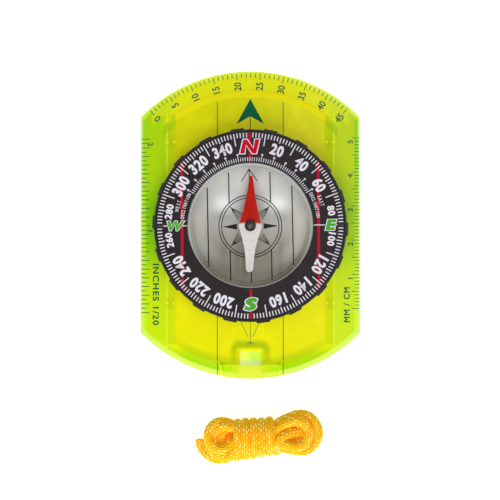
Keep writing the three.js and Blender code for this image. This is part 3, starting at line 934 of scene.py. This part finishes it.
class PlatePlace:
    """Where a point of the plate is, in mm, as sockets of a node tree."""

    def __init__(self, t):
        self.tree = t
        self.place = t.place()
        self.x, self.y, _ = t.split(self.place)
        self.across = t.math("ABSOLUTE", self.x)
        self.radius = t.length(self.x, t.minus(self.y, PLATE_CENTRE))
        self.north = t.step(self.y, -28.0, 34.0, smooth=False)

    def shade(self, south, north):
        """A colour that changes evenly from the south end to the north end: painted light, brighter
        towards the south.
        """
        return self.tree.blend(self.north, south, north)


def ruler_edges(t, at, colour):
    """The slope, the ledge and the rim along each ruler edge, with painted shade on the ledges beside the
    dial, a painted highlight at the foot of the slope and a pale painted glow on the rim.
    """
    east = t.step(at.x, -4.0, 4.0)
    # Painted shade: the ledges are greener and darker beside the dial.
    dial_shade_mask = t.times(t.step(at.y, -16.0, -3.0), t.step(at.y, 18.0, 4.0))
    ledge_west = t.blend(dial_shade_mask, at.shade((208, 228, 10), (166, 206, 4)), (134, 200, 8))
    ledge_east = t.blend(dial_shade_mask, at.shade((208, 226, 10), (190, 206, 0)), (168, 202, 4))
    rim_west = at.shade((206, 241, 58), (150, 209, 36))
    rim_east = at.shade((212, 243, 50), (128, 198, 28))
    colour = t.blend(t.step(at.across, 21.3, 22.2), colour, at.shade((212, 223, 8), (184, 203, 8)))
    colour = t.blend(t.step(at.across, 24.2, 25.4), colour, t.blend(east, ledge_west, ledge_east))
    # A painted highlight: a thin bright line at the foot of the slope.
    colour = t.blend(t.times(t.band(at.across, 24.0, 24.3, 24.5, 24.9), 0.6), colour, (236, 240, 60))
    colour = t.blend(t.step(at.across, 30.2, 30.9), colour, t.blend(east, rim_west, rim_east))
    # A pale painted glow along the very edge.
    return t.blend(t.step(at.across, 31.3, 31.8), colour, (214, 244, 120))


def arrow_end(t, at, colour):
    """A painted highlight along the crest of the slope, then a pale ledge with its two corners, the inner
    one in painted shade, then the rim's pale painted glow.
    """
    ahead = t.step(at.y, 16.0, 24.0)
    inside = t.step(at.across, 27.0, 22.0)
    ledge = t.times(t.step(at.radius, 38.6, 39.8), ahead)
    colour = t.blend(t.times(ledge, inside), colour, (221, 224, 22))
    # A painted highlight along the crest of the slope.
    crest = t.times(t.band(at.radius, 37.3, 38.2, 39.0, 39.8), ahead)
    colour = t.blend(t.times(crest, inside), colour, (252, 240, 6))
    # Painted shade: a darker green patch at each inner corner.
    corner = t.times(t.band(at.radius, 36.0, 36.8, 38.4, 39.2), t.band(at.across, 21.6, 22.4, 25.0, 26.0))
    colour = t.blend(t.times(t.times(corner, ahead), 0.7), colour, (150, 190, 10))
    corner = t.times(t.step(at.radius, 40.5, 41.4), t.band(at.across, 20.0, 23.0, 28.3, 29.4))
    colour = t.blend(t.times(corner, ahead), colour, (212, 220, 30))
    # The rim's pale painted glow.
    return t.blend(t.times(t.step(at.radius, 43.4, 44.6), ahead), colour, (218, 238, 72))


def lanyard_end(t, at, colour):
    """A slope that is greenest in its middle, and a pale rim of painted glow."""
    behind = t.step(at.y, -12.0, -22.0)
    central = t.times(behind, t.step(at.across, 25.0, 15.5))
    for start, full, where, shown in (
        (38.6, 40.2, central, (200, 212, 0)),
        (40.2, 41.4, central, (168, 198, 2)),
        (41.6, 42.7, central, (160, 214, 4)),
        (*PALE_RIM, behind, (214, 244, 104)),
    ):
        colour = t.blend(t.times(t.step(at.radius, start, full), where), colour, shown)
    return colour


def slot_halo(t, at, colour):
    """Painted shade round the slot, dark green, a little way off its walls."""
    beside = t.math("MAXIMUM", t.minus(at.across, SLOT_HALF_WIDTH), 0.0)
    along = t.minus(at.y, SLOT_Y)
    beyond = t.times(t.math("MAXIMUM", t.minus(along, SLOT_HALF_LENGTH), 0.0), 0.9)
    off_wall = t.band(t.length(beside, beyond), 0.1, 1.5, 1.6, 3.5)
    halo = t.times(off_wall, t.step(at.y, BAR_Y - 0.2, BAR_Y + 1.8))
    depth = t.math("MULTIPLY_ADD", t.step(along, 0.5, 3.5), 0.22, 0.4)
    return t.blend(t.times(halo, depth), colour, (112, 162, 0))


def cord_bar(t, at, colour):
    """The low bar behind the slot, pale in its middle and green towards its ends, with the rim's pale
    painted glow and a painted highlight along its north edge.
    """
    on_bar = t.times(t.step(at.across, 9.2, 8.6), t.step(at.y, BAR_Y + 0.2, BAR_Y - 0.2))
    bar = t.blend(t.step(at.across, 2.6, 4.2), (228, 238, 68), (206, 232, 24))
    bar = t.blend(t.step(at.across, 4.6, 6.2), bar, (184, 234, 8))
    bar = t.blend(t.step(at.radius, *PALE_RIM), bar, (224, 244, 84))
    colour = t.blend(on_bar, colour, bar)
    # A painted highlight along the bar's north edge.
    lit_edge = t.band(at.y, BAR_Y - 0.1, BAR_Y + 0.05, BAR_Y + 0.15, BAR_Y + 0.35)
    return t.blend(t.times(lit_edge, t.step(at.across, 9.0, 8.0)), colour, (250, 214, 20))


def foot_highlights(t, at, colour):
    """The feet, seen from above: a pair of painted highlights in a patch of painted shade at each."""
    for foot in ("foot_pad_front_left", "foot_pad_rear_left"):
        low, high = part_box(foot)
        x = t.minus(at.across, abs(low.x + high.x) / 2 / MM)
        y = t.minus(at.y, (low.y + high.y) / 2 / MM)
        # Painted shade round each foot.
        colour = t.blend(t.times(t.step(t.length(x, y), 2.4, 1.3), 0.22), colour, (178, 192, 0))
        # Painted highlights: two small bright points, one to each side of the foot.
        off_highlight = t.length(t.minus(t.math("ABSOLUTE", x), 1.0), y)
        colour = t.blend(t.times(t.step(off_highlight, 0.7, 0.2), 0.8), colour, (250, 242, 50))
    return colour


def acrylic():
    """Clear fluorescent acrylic: yellow where it is thick, greener towards its edges, with painted light
    and shade, and a slight painted glow.
    """
    t = Tree("fluorescent_acrylic")
    at = PlatePlace(t)
    drift = t.noise(0.12, 2.0, vector=at.place)
    colour = at.shade((229, 226, 0), (206, 206, 0))
    colour = t.blend(t.times(t.step(drift, 0.45, 0.75), 0.5), colour, (246, 240, 10))
    for part in (ruler_edges, arrow_end, lanyard_end, slot_halo, cord_bar, foot_highlights):
        colour = part(t, at, colour)
    body = t.principled(
        Base_Color=colour,
        Roughness=0.14,
        Specular_IOR_Level=0.2,
        Emission_Color=colour,
        # A slight painted glow.
        Emission_Strength=0.16,
        Normal=t.bump(t.noise(35.0, 2.0), 0.02, 0.3),
    )
    clear = t.add("ShaderNodeBsdfTransparent")
    t.link(t.blend(t.step(at.across, 22.0, 25.0), (240, 240, 4), (212, 238, 24)), clear.inputs[0])
    return t.finish(t.mixed(0.72, clear.outputs[0], body))


def rose_metal():
    """A silvered disc, brushed along north and south, with painted reflections: bright painted highlights
    on each side of the needle and painted shade to the south.
    """
    t = Tree("silvered_disc")
    place = t.place()
    x, y, _ = t.split(place)
    brushed = t.noise(1.0, 4.0, vector=t.stretch(place, (2.6, 0.09, 1.0)))
    streak = t.noise(1.0, 1.0, vector=t.stretch(place, (0.34, 0.02, 1.0)))
    # Painted shade: darker and more olive towards the south.
    far = t.blend(t.step(y, 0.0, 15.0), (187, 185, 183), (210, 209, 207))
    near = t.blend(t.step(y, -16.0, -7.0), (166, 161, 141), (142, 138, 121))
    base = t.blend(t.step(y, -9.0, 2.0), near, far)
    base = t.blend(t.times(t.step(streak, 0.4, 0.65), 0.3), base, (196, 194, 190))
    across = t.math("ABSOLUTE", x)

    def patch(wide, tall, height, out, lean=0.0):
        """A soft patch, 0 to 1, on each side of the needle, that places painted highlights and painted
        shade; it leans with its height.
        """
        off = t.minus(y, height)
        centre = t.math("MULTIPLY_ADD", off, lean, out)
        u = t.math("DIVIDE", t.minus(across, centre), wide)
        v = t.math("DIVIDE", off, tall)
        away = t.math("MULTIPLY_ADD", u, u, t.times(v, v))
        return t.math("EXPONENT", t.times(away, -1.0))

    # Painted highlights: a soft pair high on the disc, and on each side a broad soft one round a bright
    # one.
    crown_highlight = t.times(patch(3.0, 3.4, 12.6, 3.0), 0.7)
    base = t.blend(crown_highlight, base, (228, 227, 226))
    base = t.blend(t.times(patch(3.4, 6.5, 8.5, 8.6, -0.1), 0.5), base, (226, 225, 223))
    base = t.blend(patch(3.1, 2.6, 6.8, 8.0, -0.2), base, (255, 255, 255))
    # Painted shade: a darker spot on each side, below the highlights.
    shaded_spot = t.times(patch(4.2, 1.6, 2.9, 8.6), 0.3)
    base = t.blend(shaded_spot, base, (126, 124, 121))
    radius = t.length(x, y)
    # Painted light that lifts the outer sides of the disc beside its middle out of their shade.
    sides = t.times(t.step(radius, 10.5, 15.5), t.step(y, -13.0, -6.0))
    base = t.blend(t.times(sides, t.step(y, 9.0, 2.0)), base, (222, 220, 210))
    shader = t.principled(
        Base_Color=base,
        Metallic=0.35,
        Roughness=t.math("MULTIPLY_ADD", brushed, 0.2, 0.36),
        Specular_IOR_Level=0.3,
        Normal=t.bump(brushed, 0.01, 0.5),
    )
    return t.finish(shader)


def clear_lens():
    """Clear acrylic, with painted light on its rim and a thin ring of painted shade inside it."""
    t = Tree("clear_lens")
    place = t.place()
    x, y, _ = t.split(place)
    radius = t.length(x, y)
    gloss = t.add("ShaderNodeBsdfGlossy")
    gloss.inputs["Roughness"].default_value = 0.06
    t.link(t.bump(t.noise(0.4, 2.0, vector=place), 0.01, 0.4), gloss.inputs["Normal"])
    clear = t.add("ShaderNodeBsdfTransparent")
    clear.inputs[0].default_value = (0.985, 0.985, 0.98, 1)
    facing = t.add("ShaderNodeLayerWeight").outputs["Facing"]
    gleam = t.math("MULTIPLY_ADD", t.math("POWER", facing, 4.0), 0.35, 0.006)
    window = t.mixed(gleam, clear.outputs[0], gloss.outputs[0])
    # A rim of painted light, grey and darker to the south, with a pale painted line at its outer edge,
    # and just inside it a thin ring of painted shade that is plainest to the south.
    rim = t.times(t.step(radius, 17.25, 17.6), 0.88)
    shade = t.blend(t.step(y, -16.0, 0.0), (82, 82, 68), (186, 185, 180))
    shade = t.blend(t.step(y, 2.0, 17.0), shade, (222, 222, 222))
    shade = t.blend(t.times(t.step(radius, 17.75, 18.0), 0.3), shade, (240, 240, 236))
    ring = t.step(t.math("ABSOLUTE", t.minus(radius, 16.5)), 0.22, 0.05)
    ring = t.times(ring, t.step(y, 12.0, -6.0))
    shade = t.blend(ring, shade, (84, 86, 66))
    rim = t.math("MAXIMUM", rim, t.times(ring, 0.3))
    glow = t.principled(Base_Color=shade, Roughness=0.3, Specular_IOR_Level=0.2)
    return t.finish(t.mixed(rim, window, glow))


def needle_paint():
    """Gloss paint on the blade: its north half red, its south half white."""
    t = Tree("needle_paint")
    y = t.split(t.coords())[1]
    wander = t.times(t.minus(t.noise(900.0, 2.0), 0.5), 0.0006)
    north = t.step(t.math("ADD", y, wander), 0.0003, 0.0011)
    speck = t.noise(1500.0, 4.0)
    red = t.blend(t.step(speck, 0.4, 0.75), (186, 14, 0), (206, 30, 0))
    white = t.blend(t.step(speck, 0.35, 0.7), (226, 221, 219), (238, 235, 233))
    shader = t.principled(
        Base_Color=t.blend(north, white, red),
        Roughness=t.math("MULTIPLY_ADD", speck, 0.2, 0.28),
        Specular_IOR_Level=0.1,
        Normal=t.bump(speck, 0.02, 0.5),
    )
    return t.finish(shader)


def stone():
    """A synthetic ruby."""
    t = Tree("jewel")
    red = t.blend(t.noise(1800.0, 2.0), (150, 16, 40), (190, 40, 64))
    return t.finish(t.principled(Base_Color=red, Roughness=0.05, IOR=1.76))


look("baseplate", acrylic())
silicone = moulded("silicone", (238, 244, 40), (228, 236, 20), 0.35, 700.0, 0.01)
for node in nodes:
    if node.startswith("foot_pad"):
        look(node, silicone)
look("friction_ring", moulded("friction_rubber", (22, 22, 22), (34, 34, 33), 0.7))
look("bezel", moulded("grip_plastic", (14, 12, 13), (24, 22, 23), 0.34, 1400.0, 0.03, gloss=0.35))
look("dial_face", moulded("face_plastic", (40, 34, 36), (50, 43, 45), 0.5, 1900.0, 0.012, gloss=0.12))
nylon = moulded("black_nylon", (24, 24, 25), (36, 36, 37), 0.5, 1200.0)
look("retaining_ring", nylon)
look("fill_plug", nylon)
look("capsule_cup", moulded("capsule_plastic", (196, 200, 196), (180, 184, 178), 0.25, 500.0, 0.01))
look("rose_disc", rose_metal())
look("capsule_lens", clear_lens())
look("pivot_pin", moulded("pin_steel", (190, 190, 190), (165, 165, 165), 0.25, 2600.0, 0.01, 1.0))
look("needle_blade", needle_paint())
look("needle_hub", moulded("hub_plastic", (16, 15, 15), (28, 26, 26), 0.25, 2200.0, 0.01))
look("needle_bearing", moulded("bearing_brass", (118, 106, 88), (90, 80, 64), 0.35, 2600.0, 0.01, 1.0))
look("needle_jewel", stone())

# ---------- floor and light ----------

FLOOR_HALF_SIZE = 1500
WORLD_STRENGTH = 0.42


def make_floor():
    """White paper, with the light that the slot's walls throw on it."""
    t = Tree("white_paper")
    grain = t.noise(700.0, 3.0)
    place = t.place()
    x, y, _ = t.split(place)
    beside = t.step(t.math("ABSOLUTE", x), 4.4, 3.3)
    under = t.times(t.step(y, -42.0, -40.9), t.step(y, -34.8, -36.2))
    cloud = t.step(t.noise(0.5, 2.0, vector=place), 0.2, 0.8)
    thrown = t.blend(cloud, (188, 214, 60), (160, 200, 70))
    thrown = t.blend(t.times(t.step(x, 0.8, -2.0), 0.8), thrown, (208, 222, 96))
    thrown = t.blend(t.step(y, -38.4, -40.4), thrown, (184, 206, 152))
    caught = t.times(beside, under)
    paper = t.blend(grain, (243, 243, 243), (250, 250, 250))
    shader = t.principled(
        Base_Color=t.blend(caught, paper, thrown),
        Roughness=0.9,
        Emission_Color=t.blend(caught, (1, 1, 1, 1), thrown),
        Emission_Strength=0.6,
        Normal=t.bump(grain, 0.01, 0.3),
    )
    size = FLOOR_HALF_SIZE
    corners = [(-size, -size, 0), (size, -size, 0), (size, size, 0), (-size, size, 0)]
    floor = new_mesh("floor", corners, [(0, 1, 2, 3)], t.finish(shader))
    floor.location.z = -0.02 * MM


def area_light(name, place, size, power):
    """A round soft light in metres and watts, aimed at the origin."""
    data = bpy.data.lights.new(name, "AREA")
    data.shape = "DISK"
    data.size = size
    data.energy = power
    light = bpy.data.objects.new(name, data)
    bpy.context.scene.collection.objects.link(light)
    light.location = place
    light.rotation_euler = (-Vector(place)).to_track_quat("-Z", "Y").to_euler()


def make_light():
    world = bpy.data.worlds.new("studio")
    world.use_nodes = True
    background = world.node_tree.nodes["Background"]
    background.inputs["Color"].default_value = (1, 1, 1, 1)
    background.inputs["Strength"].default_value = WORLD_STRENGTH
    bpy.context.scene.world = world
    area_light("key", (-0.12, -0.8, 0.62), 0.9, 8.6)
    area_light("fill", (0.3, 0.1, 0.9), 0.6, 1.2)
    settings = bpy.context.scene.view_settings
    settings.view_transform = "Standard"
    settings.look = "None"


make_floor()
make_light()
